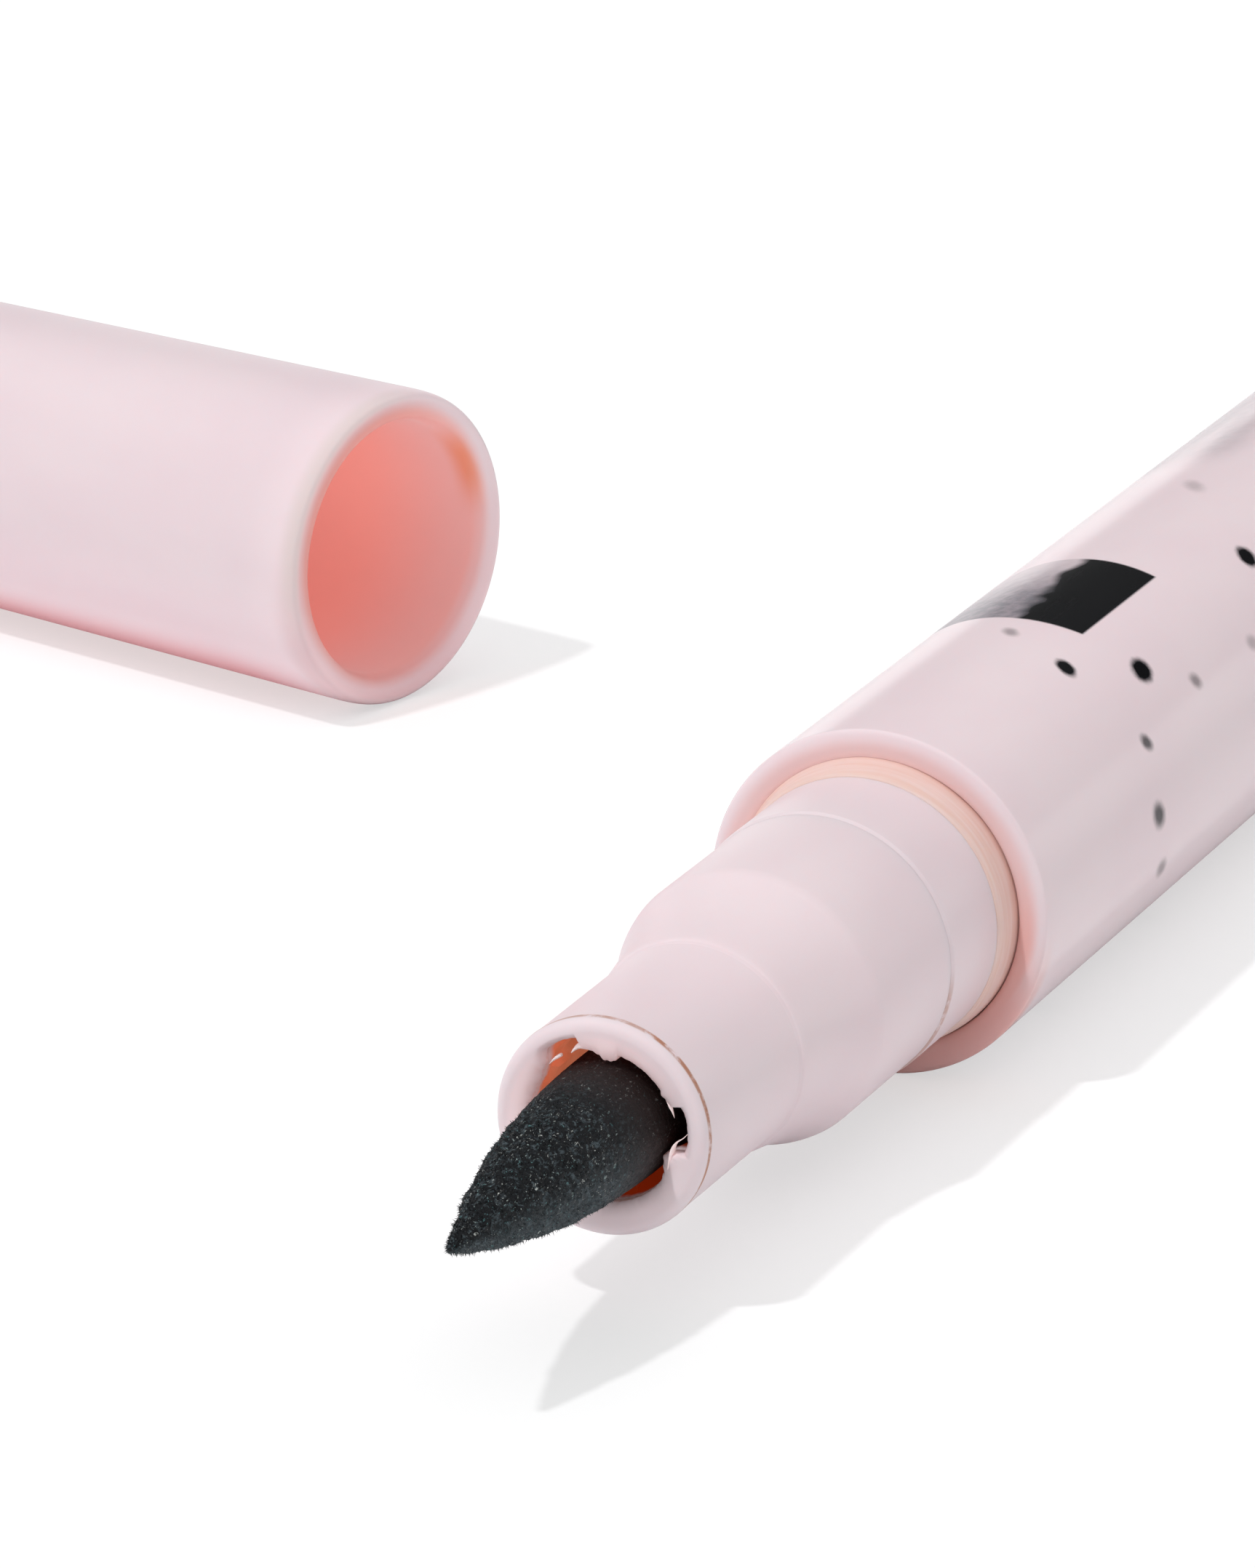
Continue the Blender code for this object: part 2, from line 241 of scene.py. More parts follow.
def new_group(name, inputs, outputs):
    """A node group with named inputs and outputs, what comes in, and the node that gives it out."""
    tree = bpy.data.node_groups.new(name, "ShaderNodeTree")
    kinds = {"value": "NodeSocketFloat", "colour": "NodeSocketColor", "vector": "NodeSocketVector"}
    for in_out, sockets in ("INPUT", inputs), ("OUTPUT", outputs):
        for socket, kind in sockets.items():
            tree.interface.new_socket(socket, in_out=in_out, socket_type=kinds[kind])
    return tree, tree.nodes.new("NodeGroupInput").outputs, tree.nodes.new("NodeGroupOutput")


def use_group(group, inputs=None, tree=None):
    return add_node("ShaderNodeGroup", inputs, tree, node_tree=group).outputs


def make_round_places():
    """Where a point of a round piece is about the piece's own axis. Turn is its angle from the top,
    whichever way round."""
    outputs = {"Place": "vector"} | dict.fromkeys(("Along", "Radius", "Angle", "Turn"), "value")
    tree, _, end = new_group("round_places", {}, outputs)
    own = tree.nodes.new("ShaderNodeTexCoord").outputs["Object"]
    place = add_node("ShaderNodeVectorMath", {0: own, "Scale": 1 / mm}, operation="SCALE").outputs[0]
    up, aside, along = add_node("ShaderNodeSeparateXYZ", {0: place}).outputs
    angle = maths("DEGREES", maths("ARCTAN2", aside, up))
    radius = maths("SQRT", maths("ADD", product(up, up), product(aside, aside)))
    fill(end, {"Place": place, "Along": along, "Radius": radius, "Angle": angle})
    fill(end, {"Turn": maths("ABSOLUTE", angle)})
    return tree


def make_moulded_skin():
    """Moulded plastic: faint clouds of colour, a fine grain, slow waves, and hairline rubs along the axis."""
    inputs = {"Place": "vector", "Colour": "colour", "Cloud Colour": "colour", "Roughness": "value"}
    outputs = {"Colour": "colour", "Roughness": "value", "Height": "value"}
    tree, starts, end = new_group("moulded_skin", inputs, outputs)
    place = starts["Place"]
    clouds = ramp(streaks_at(place, 0.3, 0.15), 0.3, 0.7)
    grain = noise_at(place, 7, 3, 0.6)
    hairlines = ramp(streaks_at(place, 9, 0.35), 0.62, 0.7)
    waves = streaks_at(place, 0.5, 0.12, detail=1)
    colour = mixed(clouds, starts["Colour"], starts["Cloud Colour"])
    rubbed = maths("ADD", product(grain, 0.08), product(hairlines, 0.05))
    roughness = maths("ADD", starts["Roughness"], rubbed)
    height = maths("MULTIPLY_ADD", waves, 2, product(grain, 0.22))
    height = maths("SUBTRACT", height, product(hairlines, 0.03))
    fill(end, {"Colour": colour, "Roughness": roughness, "Height": height})
    return tree


# Each freckle: its middle along the barrel and round it from the top, its size, tilt and ink
freckle_columns = ("Spot Along", "Spot Around", "Length", "Width", "Tilt", "Strength", "Softness")
freckles = (
    (-8.97, -2.33, 0.87, 0.63, -41, 1, 0.35),
    (-12.04, -3.84, 1.08, 0.8, -12, 1, 0.35),
    (-22.65, -3.14, 0.97, 0.75, -29, 1, 0.35),
    (-9.13, -7.76, 0.88, 0.67, 36, 0.92, 0.6),
    (-14.47, -5.11, 0.6, 0.44, 20, 0.6, 0.7),
    (-9.62, -5.61, 0.62, 0.46, 26, 0.88, 0.6),
    (-9.89, -9.7, 0.8, 0.5, 27, 0.55, 0.7),
    (-10.04, -0.06, 0.7, 0.4, -35, 0.5, 0.7),
    (-19.16, -5.33, 0.66, 0.45, 11, 0.4, 0.7),
    (-26.23, 0.13, 1.1, 0.5, -33, 0.3, 0.8),
)


def make_ink_spot():
    """A printed spot: an oval with a slightly uneven edge, on the skin of a round piece."""
    inputs = {"Place": "vector"} | dict.fromkeys(("Along", "Around", *freckle_columns), "value")
    tree, starts, end = new_group("ink_spot", inputs, {"Ink": "value"})
    ahead = maths("SUBTRACT", starts["Along"], starts["Spot Along"])
    aside = maths("SUBTRACT", starts["Around"], starts["Spot Around"])
    tilt = maths("RADIANS", starts["Tilt"])
    cosine, sine = maths("COSINE", tilt), maths("SINE", tilt)
    long = maths("ADD", product(ahead, cosine), product(aside, sine))
    wide = maths("SUBTRACT", product(aside, cosine), product(ahead, sine))
    long = maths("DIVIDE", long, product(starts["Length"], 0.5))
    wide = maths("DIVIDE", wide, product(starts["Width"], 0.5))
    reach = maths("SQRT", maths("MULTIPLY_ADD", long, long, product(wide, wide)))
    uneven = maths("MULTIPLY_ADD", noise_at(starts["Place"], 4), 0.3, -0.15)
    inner = maths("SUBTRACT", 1, starts["Softness"])
    outer = maths("ADD", 1, starts["Softness"])
    oval = fade(maths("ADD", reach, uneven), inner, outer)
    fill(end, {"Ink": product(oval, starts["Strength"])})
    return tree


round_places = make_round_places()
moulded_skin = make_moulded_skin()
ink_spot = make_ink_spot()

pale_pink = tone(236, 219, 223)
cloud_pink = tone(234, 215, 220)
# Rosy tone: painted shade inside the barrel's lip, and painted light near the cap's mouth
rose_pink = tone(240, 200, 198)
# Painted shade under the barrel's lip
rose_shade = tone(234, 178, 172)
haze_grey = tone(86, 89, 100)
ink_black = tone(13, 15, 21)
# Painted light for the crease round the seal ring
barrel_crease_painted_light = (0.11, 0.075, 0.072, 1)
no_light = (0, 0, 0, 1)
soft_share = 0.2
lamp_angle = 60

patch_front = -11.45, -11.3
patch_back = -17.85, -17.7
patch_low = -1.86, -1.76
haze_begins = -0.2, 0.2
haze_ends = 5, 9
smear_back = -52, -38
smear_front = -31, -28
scatter_scale = 0.42
scatter_behind = -38, -28
scatter_front = -6, -4
scatter_middle_angle = -20
scatter_far_side = 97, 105
bare_mouth = -1, -0.1
lip_inside = 4.7, 5.14
printed_skin = 5.1, 5.2


def new_finish(name):
    """A material, its shader, and the places on the piece that wears it."""
    material = bpy.data.materials.new(name)
    material.use_nodes = True
    tree = material.node_tree
    return material, tree.nodes["Principled BSDF"], use_group(round_places, tree=tree)


def give_skin(shader, colour, roughness, height, strength, depth):
    """Feeds a shader its colour and roughness, and bumps that are depth high."""
    bump = add_node("ShaderNodeBump", {"Height": height, "Strength": strength, "Distance": depth * mm})
    fill(shader, {"Base Color": colour, "Roughness": roughness, "Normal": bump.outputs[0]})


def soften(shader, spread, depth):
    """Lets a little light scatter under the surface."""
    fill(shader, {"Subsurface Weight": soft_share, "Subsurface Radius": spread})
    fill(shader, {"Subsurface Scale": depth * mm})


def paint_glow(material, light):
    """Painted light: an emission that stands for the faint daylight that comes through a thin wall. It is not
    sampled as a lamp.
    """
    shader = material.node_tree.nodes["Principled BSDF"]
    fill(shader, {"Emission Color": light, "Emission Strength": 1})
    material.cycles.emission_sampling = "NONE"


def pink_plastic(name, colouring=None, roughness=0.13, glow=None):
    """Pale pink moulded plastic. colouring, where given, prints, stains or paints light and shade on the
    piece: it takes the places on the piece and the colour so far, and returns a colour. glow takes the
    places, and returns a painted glow that stands for light coming through the wall, which mirrors leave out."""
    material, shader, at = new_finish(name)
    inputs = {"Place": at["Place"], "Colour": pale_pink, "Cloud Colour": cloud_pink}
    skin = use_group(moulded_skin, inputs | {"Roughness": roughness})
    colour = colouring(at, skin["Colour"]) if colouring else skin["Colour"]
    brightness = add_node("ShaderNodeRGBToBW", {0: colour}).outputs[0]
    dulled = maths("ADD", skin["Roughness"], ramp(brightness, 0.05, 0.5, 0.08, 0))
    give_skin(shader, colour, dulled, skin["Height"], strength=0.35, depth=0.01)
    # Black ink reflects far less than bare plastic
    fill(shader, {"Metallic": ramp(brightness, 0.008, 0.03, 0.9, 0), "Specular IOR Level": 0.3})
    soften(shader, spread=(1, 0.45, 0.4), depth=0.8)
    if glow:
        mirrored = add_node("ShaderNodeLightPath", tree=material.node_tree).outputs["Is Glossy Ray"]
        paint_glow(material, mixed(mirrored, glow(at), no_light))
    return material


def freckle_ink(at, around):
    """The freckles that show in front, each in its own place, and scattered ones over the rest."""
    skin_place = {"Place": at["Place"], "Along": at["Along"], "Around": around}
    ink = 0
    for freckle in freckles:
        spot = use_group(ink_spot, skin_place | dict(zip(freckle_columns, freckle)))
        ink = maths("MAXIMUM", spot["Ink"], ink)
    inputs = {"Vector": at["Place"], "Scale": scatter_scale, "Randomness": 1}
    cells = add_node("ShaderNodeTexVoronoi", inputs).outputs
    draws = add_node("ShaderNodeSeparateColor", {0: cells["Color"]}).outputs
    size = maths("MULTIPLY_ADD", draws[0], 0.16, 0.05)
    dots = product(fade(maths("SUBTRACT", cells["Distance"], size), -0.04, 0.02), ramp(draws[1], 0.1, 0.6))
    far_side = ramp(turned_off(at["Angle"], scatter_middle_angle), *scatter_far_side)
    far_side = product(far_side, fade(at["Along"], *scatter_front))
    elsewhere = maths("MAXIMUM", fade(at["Along"], *scatter_behind), far_side)
    return maths("MAXIMUM", ink, product(dots, elsewhere))


def patch_ink(at, around):
    """The black patch, uneven only on its side towards the haze, and the stretch that patch and haze take."""
    bend = maths("MINIMUM", product(around, around), 16)
    front = fade(maths("MULTIPLY_ADD", bend, 0.06, at["Along"]), *patch_front)
    stretch = product(front, ramp(at["Along"], *patch_back))
    uneven = maths("MULTIPLY_ADD", noise_at(at["Place"], 0.45), 1.6, -0.35)
    high = fade(maths("SUBTRACT", around, uneven), -0.25, 0.25)
    return product(ramp(around, *patch_low), high, stretch), stretch


def haze_share(at, around, stretch):
    """Grey haze: dark beside the patch, thinning as it goes round, and a streaky smear further back."""
    along, place = at["Along"], at["Place"]
    thins_round = product(ramp(around, 0.2, 6, 0.85, 0.5), fade(around, *haze_ends))
    thins_back = ramp(along, -18.5, -13, 0.3, 1)
    haze = product(stretch, ramp(around, *haze_begins), thins_round, thins_back)
    streaks = ramp(streaks_at(place, 0.8, 0.1), 0.25, 0.75, 0.3, 0.85)
    smear_length = product(ramp(along, *smear_back), fade(along, *smear_front))
    smear_width = product(ramp(around, -0.6, 1.6), ramp(around, *haze_ends, 0.5, 0))
    speckle = ramp(noise_at(place, 2.2, 3, 0.6), 0.3, 0.7, 0.8, 1)
    return product(maths("ADD", haze, product(streaks, smear_length, smear_width)), speckle)


def print_barrel(at, colour):
    """The print, on the outside only. The lip is bare: painted rosy shade inside it, and deeper painted rose
    shade underneath.
    """
    around = product(at["Angle"], radians(1) * barrel_radius)
    patch, stretch = patch_ink(at, around)
    ink = maths("MAXIMUM", freckle_ink(at, around), patch)
    mouth = ramp(at["Along"], *bare_mouth)
    # Painted shade: rosy inside the lip, and deeper rose on the lip's lower side
    inner = fade(at["Radius"], *lip_inside)
    beneath = product(ramp(at["Turn"], 62, 100), inner)
    beneath = maths("MAXIMUM", beneath, ramp(at["Turn"], 90, 128))
    return layered(
        colour,
        (haze_share(at, around, stretch), haze_grey),
        (product(inner, mouth, 0.6), rose_pink),
        (product(beneath, mouth, 0.85), rose_shade),
        (product(ink, ramp(at["Radius"], *printed_skin)), ink_black),
    )


def lamp_side(at):
    """Most on the side of the pen towards the lamp, and a little elsewhere."""
    return fade(turned_off(at["Angle"], lamp_angle), 60, 130, 0.15)


def glow_barrel(at):
    """Painted light in the crease round the seal ring, as if daylight came through the lip."""
    crease = product(fade(at["Radius"], 4.42, 4.75), ramp(at["Along"], -0.5, -0.1))
    return mixed(product(crease, lamp_side(at)), no_light, barrel_crease_painted_light)


barrel_wall = barrel_radius - barrel_bore
barrel_outline = rounded([
    (-barrel_length, barrel_bore, barrel_edge),
    (-barrel_length, barrel_radius, barrel_edge),
    (0, barrel_radius, 0),
])
barrel_outline += arc(0, barrel_radius - barrel_wall / 2, barrel_lip_rise, barrel_wall / 2, 0, 180)[1:]
barrel = turned("printed_barrel", barrel_outline, pen_place, sides=256)
material = pink_plastic("printed_pink_plastic", print_barrel, glow=glow_barrel)
finish_piece(barrel, material, "pen", "shell_plastic", "barrel")


# Ink wad
# A rod of crimped polyester fibres that holds the ink, wrapped in clear film. The film's edges overlap along
# one side. Both are pushed into the barrel from its tail, and the nib's rear end stands in the wad's socket.
wad_radius = 3.88
wad_front = -7.3
wad_back = -78.7
wad_socket = 1.97
wad_socket_back = -13.3
wad_steps = 60
wad_folds = 34
wad_fold_depth = 0.05
wad_fold_run = 9
film_inside = 3.93
film_outside = 4.08
film_lap = 0.03
film_lap_angle = 140
film_lap_width = 3
dry_fibre = tone(128, 92, 74), tone(168, 132, 112)
wet_fibre = tone(60, 36, 30), tone(102, 66, 52)
clear_film = tone(214, 214, 208), tone(236, 234, 230)


def wad_shape(along, radius, angle):
    if radius < wad_radius:
        return radius
    fold = sin(angle * wad_folds + 4 * noise.noise((along / wad_fold_run, angle, 0.5)))
    return radius - wad_fold_depth * (0.5 + 0.5 * fold)


wad_run = wad_back - wad_front
wad_outline = [(wad_socket_back, 0), (wad_socket_back, wad_socket), (wad_front, wad_socket)]
wad_outline += [(wad_front + wad_run * step / wad_steps, wad_radius) for step in range(wad_steps + 1)]
wad_outline += [(wad_back, 0)]
wad = turned("ink_wad", wad_outline, pen_place, sides=272, shape=wad_shape)

material, shader, at = new_finish("inked_wad_fibre")
strands = streaks_at(at["Place"], 7, 0.6, detail=4, roughness=0.7)
soak = ramp(at["Along"], -60, -10)
colour = mixed(soak, mixed(strands, *dry_fibre), mixed(strands, *wet_fibre))
give_skin(shader, colour, ramp(strands, 0.2, 0.8, 0.7, 0.95), strands, strength=0.8, depth=0.06)
finish_piece(wad, material, "pen", "wad_fibre", "reservoir")


def film_shape(along, radius, angle):
    """The film lies a little higher over its own edge."""
    past = (angle - radians(film_lap_angle)) / radians(film_lap_width)
    return radius + (film_lap if radius > film_inside else 0) * exp(-past * past)


film_outline = [(wad_front, film_inside), (wad_front, film_outside - film_lap)]
film_outline += [(wad_back, film_outside - film_lap), (wad_back, film_inside)]
film = turned("wad_film", film_outline, pen_place, sides=256, shape=film_shape)

material, shader, at = new_finish("clear_wad_film")
creases = streaks_at(at["Place"], 1.4, 0.2, detail=3)
roughness = ramp(creases, 0.3, 0.7, 0.08, 0.24)
give_skin(shader, mixed(creases, *clear_film), roughness, creases, strength=0.5, depth=0.05)
fill(shader, {"Transmission Weight": 0.6})
finish_piece(film, material, "pen", "clear_film", "reservoir_sleeve")


# Collar
# The rear moulding of the pen's front end, in the barrel's pink plastic. Its skirt is pressed into the
# barrel, the seal ring sits in a groove at its foot, and the cap slides over what stands out.
collar_radius = 4.14
collar_front_radius = 4.085
collar_chamfer = 0.14
collar_bore = 3.4
collar_front = 4.55
collar_back = -7
collar_skirt = 4.25
ring_groove = 3.9
groove_front = 1.15
groove_back = -1.05
moulded_edge = 0.07
seam_edge = 0.02
# Where round the collar's front seam the ink has crept most, and how far to each side
front_seam_stain = {"middle_angle": -135, "spread": 48}
stain_brown = tone(176, 112, 78)


def make_seam_stain():
    """Ink that has crept along a seam: strong in the seam, patchy round it, and gone soon beside it."""
    numbers = ("Along", "Angle", "Seam", "Width", "Middle Angle", "Spread", "Elsewhere")
    inputs = {"Place": "vector"} | dict.fromkeys(numbers, "value")
    tree, starts, end = new_group("seam_stain", inputs, {"Stain": "value"})
    off = maths("ABSOLUTE", maths("SUBTRACT", starts["Along"], starts["Seam"]))
    line = fade(off, product(starts["Width"], 0.4), starts["Width"])
    turn = turned_off(starts["Angle"], starts["Middle Angle"])
    stretch = fade(turn, product(starts["Spread"], 0.6), starts["Spread"])
    patches = ramp(noise_at(starts["Place"], 1.6, 4, 0.7), 0.3, 0.56)
    fill(end, {"Stain": product(line, patches, maths("MAXIMUM", stretch, starts["Elsewhere"]))})
    return tree


seam_stain = make_seam_stain()


def stained_at(seam, width, middle_angle, spread, strength, elsewhere=0):
    """A colouring that stains the plastic along one seam, most within spread of middle_angle."""

    def colouring(at, colour):
        inputs = {socket: at[socket] for socket in ("Place", "Along", "Angle")}
        inputs |= {"Seam": seam, "Width": width, "Middle Angle": middle_angle, "Spread": spread}
        stain = use_group(seam_stain, inputs | {"Elsewhere": elsewhere})["Stain"]
        return mixed(product(stain, strength), colour, stain_brown)

    return colouring


collar_outline = rounded([
    (collar_front, collar_bore, moulded_edge),
    (collar_front, collar_front_radius, 0),
    (collar_front - collar_chamfer, collar_radius, seam_edge),
    (groove_front, collar_radius, seam_edge),
    (groove_front, ring_groove, 0),
    (groove_back, ring_groove, 0),
    (groove_back, collar_skirt, moulded_edge),
    (collar_back, collar_skirt, moulded_edge),
    (collar_back, collar_bore, moulded_edge),
])
collar = turned("collar_moulding", collar_outline, pen_place)
collar_stain = stained_at(collar_front, width=0.2, strength=0.55, **front_seam_stain)
material = pink_plastic("collar_pink_plastic", collar_stain, roughness=0.3)
finish_piece(collar, material, "pen", "shell_plastic", "collar")


# Seal ring
# A soft peach ring at the collar's foot that fills the barrel's mouth. It is snapped into the collar's
# groove, and slopes up onto the collar with one shallow step round its middle.
ring_radius = 4.31
ring_inside = 3.95
ring_front = 1.16
ring_back = -1
ring_step_along = 0.55
ring_step = 0.03
ring_step_blur = 0.04
ring_touch_middle = 75
ring_touch_half = 110
ring_touch_fade = 40
ring_touch_growth = 0.13
ring_gap_growth = 0.03
ring_foot = 0.5
peach = tone(237, 209, 203), tone(232, 196, 185)
# Painted shade for the crease at the ring's foot
peach_crease_shade = tone(221, 171, 154)
ring_crease_painted_light = (0.08, 0.088, 0.088, 1)

ring_outline = [(ring_back, ring_inside), (ring_back, ring_radius)]
for ring_along, ring_reach in arc(0, collar_radius, ring_front, ring_radius - collar_radius, 0, 90):
    step_share = 1 / (1 + exp(-(ring_along - ring_step_along) / ring_step_blur))
    ring_outline.append((ring_along, ring_reach - ring_step * step_share * (1 - ring_along / ring_front)))
ring_outline += [(ring_front, ring_inside)]


def turn_between(angle, other):
    """Degrees from one angle to another, the short way round."""
    return (angle - other + 180) % 360 - 180


def kept_share(share):
    """A share kept between 0 and 1."""
    return min(1, max(0, share))


def ring_shape(along, radius, angle):
    """The ring is pressed against the barrel's bore on the side away from the gap."""
    off = abs(turn_between(angle * 180 / pi, ring_touch_middle))
    touch = kept_share((ring_touch_half - off) / ring_touch_fade)
    foot = kept_share((ring_foot - along) / ring_foot)
    growth = ring_touch_growth * touch + ring_gap_growth * (1 - touch)
    return radius + growth * foot if radius > collar_radius else radius


ring = turned("peach_seal_ring", ring_outline, pen_place, shape=ring_shape)

material, shader, at = new_finish("peach_ring_plastic")
streaks = streaks_at(at["Place"], 0.35, 6, detail=3)
# Painted shade: darker at the ring's foot, in the crease against the barrel's lip
foot = ramp(at["Along"], 0, 0.5, 0.5, 0)
colour = mixed(foot, mixed(ramp(streaks, 0.3, 0.7), *peach), peach_crease_shade)
give_skin(shader, colour, ramp(streaks, 0.2, 0.8, 0.42, 0.58), streaks, strength=0.12, depth=0.02)
# Painted light in the crease at the ring's foot, most on the side towards the lamp
crease = product(fade(at["Along"], 0.1, 0.45), lamp_side(at))
paint_glow(material, mixed(crease, no_light, ring_crease_painted_light))
soften(shader, spread=(1, 0.5, 0.3), depth=0.5)
finish_piece(ring, material, "pen", "ring_plastic", "section_seal_ring")


# Nose section
# The front moulding of the pen, in pink plastic. Its spigot is pressed into the collar up to a fine seam,
# its shoulder steps down to the nose, and the nib holder is pressed into the nose's open end.
nose_back = 4.5
nose_body_radius = 4.08
spigot_radius = 3.28
spigot_length = 8.5
nib_channel = 2.095
shoulder_start = 9.5
shoulder_length = 3.9
nose_radius = 3.13
nose_end = 19.5
holder_socket = 2.75
holder_socket_depth = 4.2
# Shares of the shoulder's length and of its fall in radius: a quick turn in, a hollow run, a small step
shoulder_shares = (
    (0, 0), (0.06, 0.05), (0.13, 0.15), (0.28, 0.35), (0.51, 0.59), (0.74, 0.76), (0.93, 0.88), (0.97, 0.95),
    (1, 1),
)
mouth_stain = {"width": 0.11, "middle_angle": -75, "spread": 75, "strength": 0.9, "elsewhere": 0.7}


def eased(share):
    """A share with a slow start and a slow end."""
    return share * share * (3 - 2 * share)


def smooth_run(points, steps=5):
    """More points between the given ones, on a curve through all of them."""
    run = [points[0]]
    for index in range(len(points) - 1):
        before = Vector(points[max(index - 1, 0)])
        start, end = Vector(points[index]), Vector(points[index + 1])
        after = Vector(points[min(index + 2, len(points) - 1)])
        for step in range(1, steps + 1):
            share = step / steps
            turn_in = (end - before) / 2 * (share**3 - 2 * share**2 + share)
            turn_out = (after - start) / 2 * (share**3 - share**2)
            run.append(tuple(start.lerp(end, eased(share)) + turn_in + turn_out))
    return run


nose_fall = nose_body_radius - nose_radius
shoulder = [
    (shoulder_start + length_share * shoulder_length, nose_body_radius - fall_share * nose_fall)
    for length_share, fall_share in shoulder_shares
]
nose_outline = rounded([
    (nose_back - spigot_length, nib_channel, 0),
    (nose_back - spigot_length, spigot_radius, moulded_edge),
    (nose_back, spigot_radius, 0),
    (nose_back, nose_body_radius, seam_edge),
    (shoulder_start, nose_body_radius, 0),
])
nose_outline += smooth_run(shoulder)[1:]
nose_outline += rounded([
    (nose_end - holder_socket_depth, nib_channel, 0),
    (nose_end - holder_socket_depth, holder_socket, 0),
    (nose_end, holder_socket, moulded_edge),
    (nose_end, nose_radius, moulded_edge),
])[::-1]
nose = turned("nose_moulding", nose_outline, pen_place, sides=256)


def stain_nose(at, colour):
    colour = stained_at(collar_front, width=0.08, strength=0.6, **front_seam_stain)(at, colour)
    return stained_at(nose_end, **mouth_stain)(at, colour)


material = pink_plastic("nose_pink_plastic", stain_nose, roughness=0.36)
finish_piece(nose, material, "pen", "shell_plastic", "nose_section")


# Nib holder
# A pink insert pressed into the nose, with a round lip over the nose's end and six ribs that grip the nib.
# The mould has left a torn edge and slivers of flash inside the lip, and ink has dyed the bore behind it.
holder_start = 19.55
holder_back = 15.6
holder_bore = 2.42
holder_outside = 2.7
holder_lip_rise = 0.4
bore_steps = 48
bore_steps_growth = 1.6
rib_angles = [8 + 60 * rib for rib in range(6)]
rib_height = 0.32
rib_half_width = 8
rib_start = 0.6
rib_lead = 0.5
# The torn inner edge of the lip: its radius at each angle from the top
torn_edge = (
    (-165, 2.16), (-130, 2.16), (-121, 2.08), (-115, 1.95), (-108, 1.86), (-104, 1.95), (-101, 2.14),
    (-99, 2.46), (-90, 2.52), (-72, 2.55), (-68, 2.5), (-66, 2.16), (-61, 2.12), (-56, 2.05), (-52, 2.12),
    (-20, 2.14), (-13, 2.14), (-10, 1.95), (-6, 1.89), (-1, 1.9), (3, 2.03), (9, 2.13), (14, 2.2),
    (15.5, 2.56), (30, 2.6), (38, 2.58), (50, 2.24), (60, 2.14), (120, 2.16), (195, 2.16),
)
torn_from = torn_edge[0][0]
torn_depth = 0.45
torn_back = 0.2
torn_wear = 0.02
torn_wear_run = 0.2
torn_wear_turn = 3
least_wall = 0.12
# Slivers of flash: width and depth, then points at (along, radius, angle), thick end first
flash_slivers = (
    (0.26, 0.13, ((19.6, 2.28, 8), (19.64, 2.32, 12), (19.68, 2.32, 18), (19.72, 2.2, 24))),
    (0.07, 0.09, ((19.6, 2.16, -61), (19.66, 2.19, -66), (19.7, 2.22, -70), (19.72, 2.23, -74.5))),
    (0.1, 0.2, ((19.62, 2.2, -116), (19.68, 2.14, -108), (19.7, 2.12, -99), (19.7, 2.2, -93),
                (19.68, 2.4, -89), (19.62, 2.56, -85))),
    (0.1, 0.08, ((19.64, 2.24, 33), (19.66, 2.24, 39), (19.62, 2.22, 46))),
)
# Ink's dye in the bore: painted lit orange, plain red, and painted shade's red-brown
dyed_orange_lit = tone(213, 110, 80), tone(224, 142, 112)
dyed_red = tone(150, 52, 26)
dyed_brown_shade = tone(110, 38, 20)
# Painted light: glows that stand for daylight through the holder's thin walls and the flash
dyed_glow = (0.33, 0.07, 0.028, 1), (0.41, 0.13, 0.07, 1)
dyed_low_glow = (0.1, 0.008, 0.001, 1)
holder_lip_glow = (0.26, 0.17, 0.165, 1)
flash_glow = (0.26, 0.19, 0.17, 1)
dye_behind_lip = 19.58, 19.2
dye_inside = 2.62, 2.56
dye_shade_deepens = 18.9, 17.6
holder_lit_angle = 50


def edge_radius(degrees_round):
    degrees_round = (degrees_round - torn_from) % 360 + torn_from
    for (start, low), (end, high) in zip(torn_edge, torn_edge[1:]):
        if start <= degrees_round <= end:
            return low + (high - low) * eased((degrees_round - start) / (end - start))
    return holder_bore


def holder_shape(along, radius, angle):
    """The lip's torn edge, the bore and its ribs. The outer wall's front corner goes with the torn edge."""
    if radius > lip_crown_radius or along <= holder_back:
        return radius
    behind = holder_start - along
    degrees_round = angle * 180 / pi
    wear = noise.noise((degrees_round / torn_wear_turn, behind / torn_wear_run, 0))
    edge = edge_radius(degrees_round) + torn_wear * wear
    deep = max(holder_bore, min(edge, holder_outside - least_wall))
    if behind > torn_depth + torn_back + rib_lead:
        deep = holder_bore
    reach = edge + (deep - edge) * eased(kept_share((behind - torn_depth) / torn_back))
    if behind < 0:
        share = (lip_crown_radius - radius) / (lip_crown_radius - holder_bore)
        return lip_crown_radius - share * (lip_crown_radius - reach)
    for rib_angle in rib_angles:
        off = abs(turn_between(degrees_round, rib_angle))
        side = kept_share((rib_half_width - off) / 2 + 0.5)
        rise = kept_share((behind - rib_start) / rib_lead)
        reach = min(reach, deep - rib_height * eased(side) * rise)
    return reach


half_lip = (nose_radius - holder_bore) / 2
lip_crown_radius = holder_bore + half_lip
bore_run = holder_start - holder_back
holder_outline = [(holder_back, holder_bore), (holder_back, holder_outside), (holder_start, holder_outside)]
holder_outline += arc(holder_start, lip_crown_radius, holder_lip_rise, half_lip, 0, 180, steps=36)
for step in range(1, bore_steps):
    behind_lip = bore_run * (step / bore_steps) ** bore_steps_growth
    holder_outline.append((holder_start - behind_lip, holder_bore))
holder = turned("nib_holder_insert", holder_outline, pen_place, sides=720, shape=holder_shape)


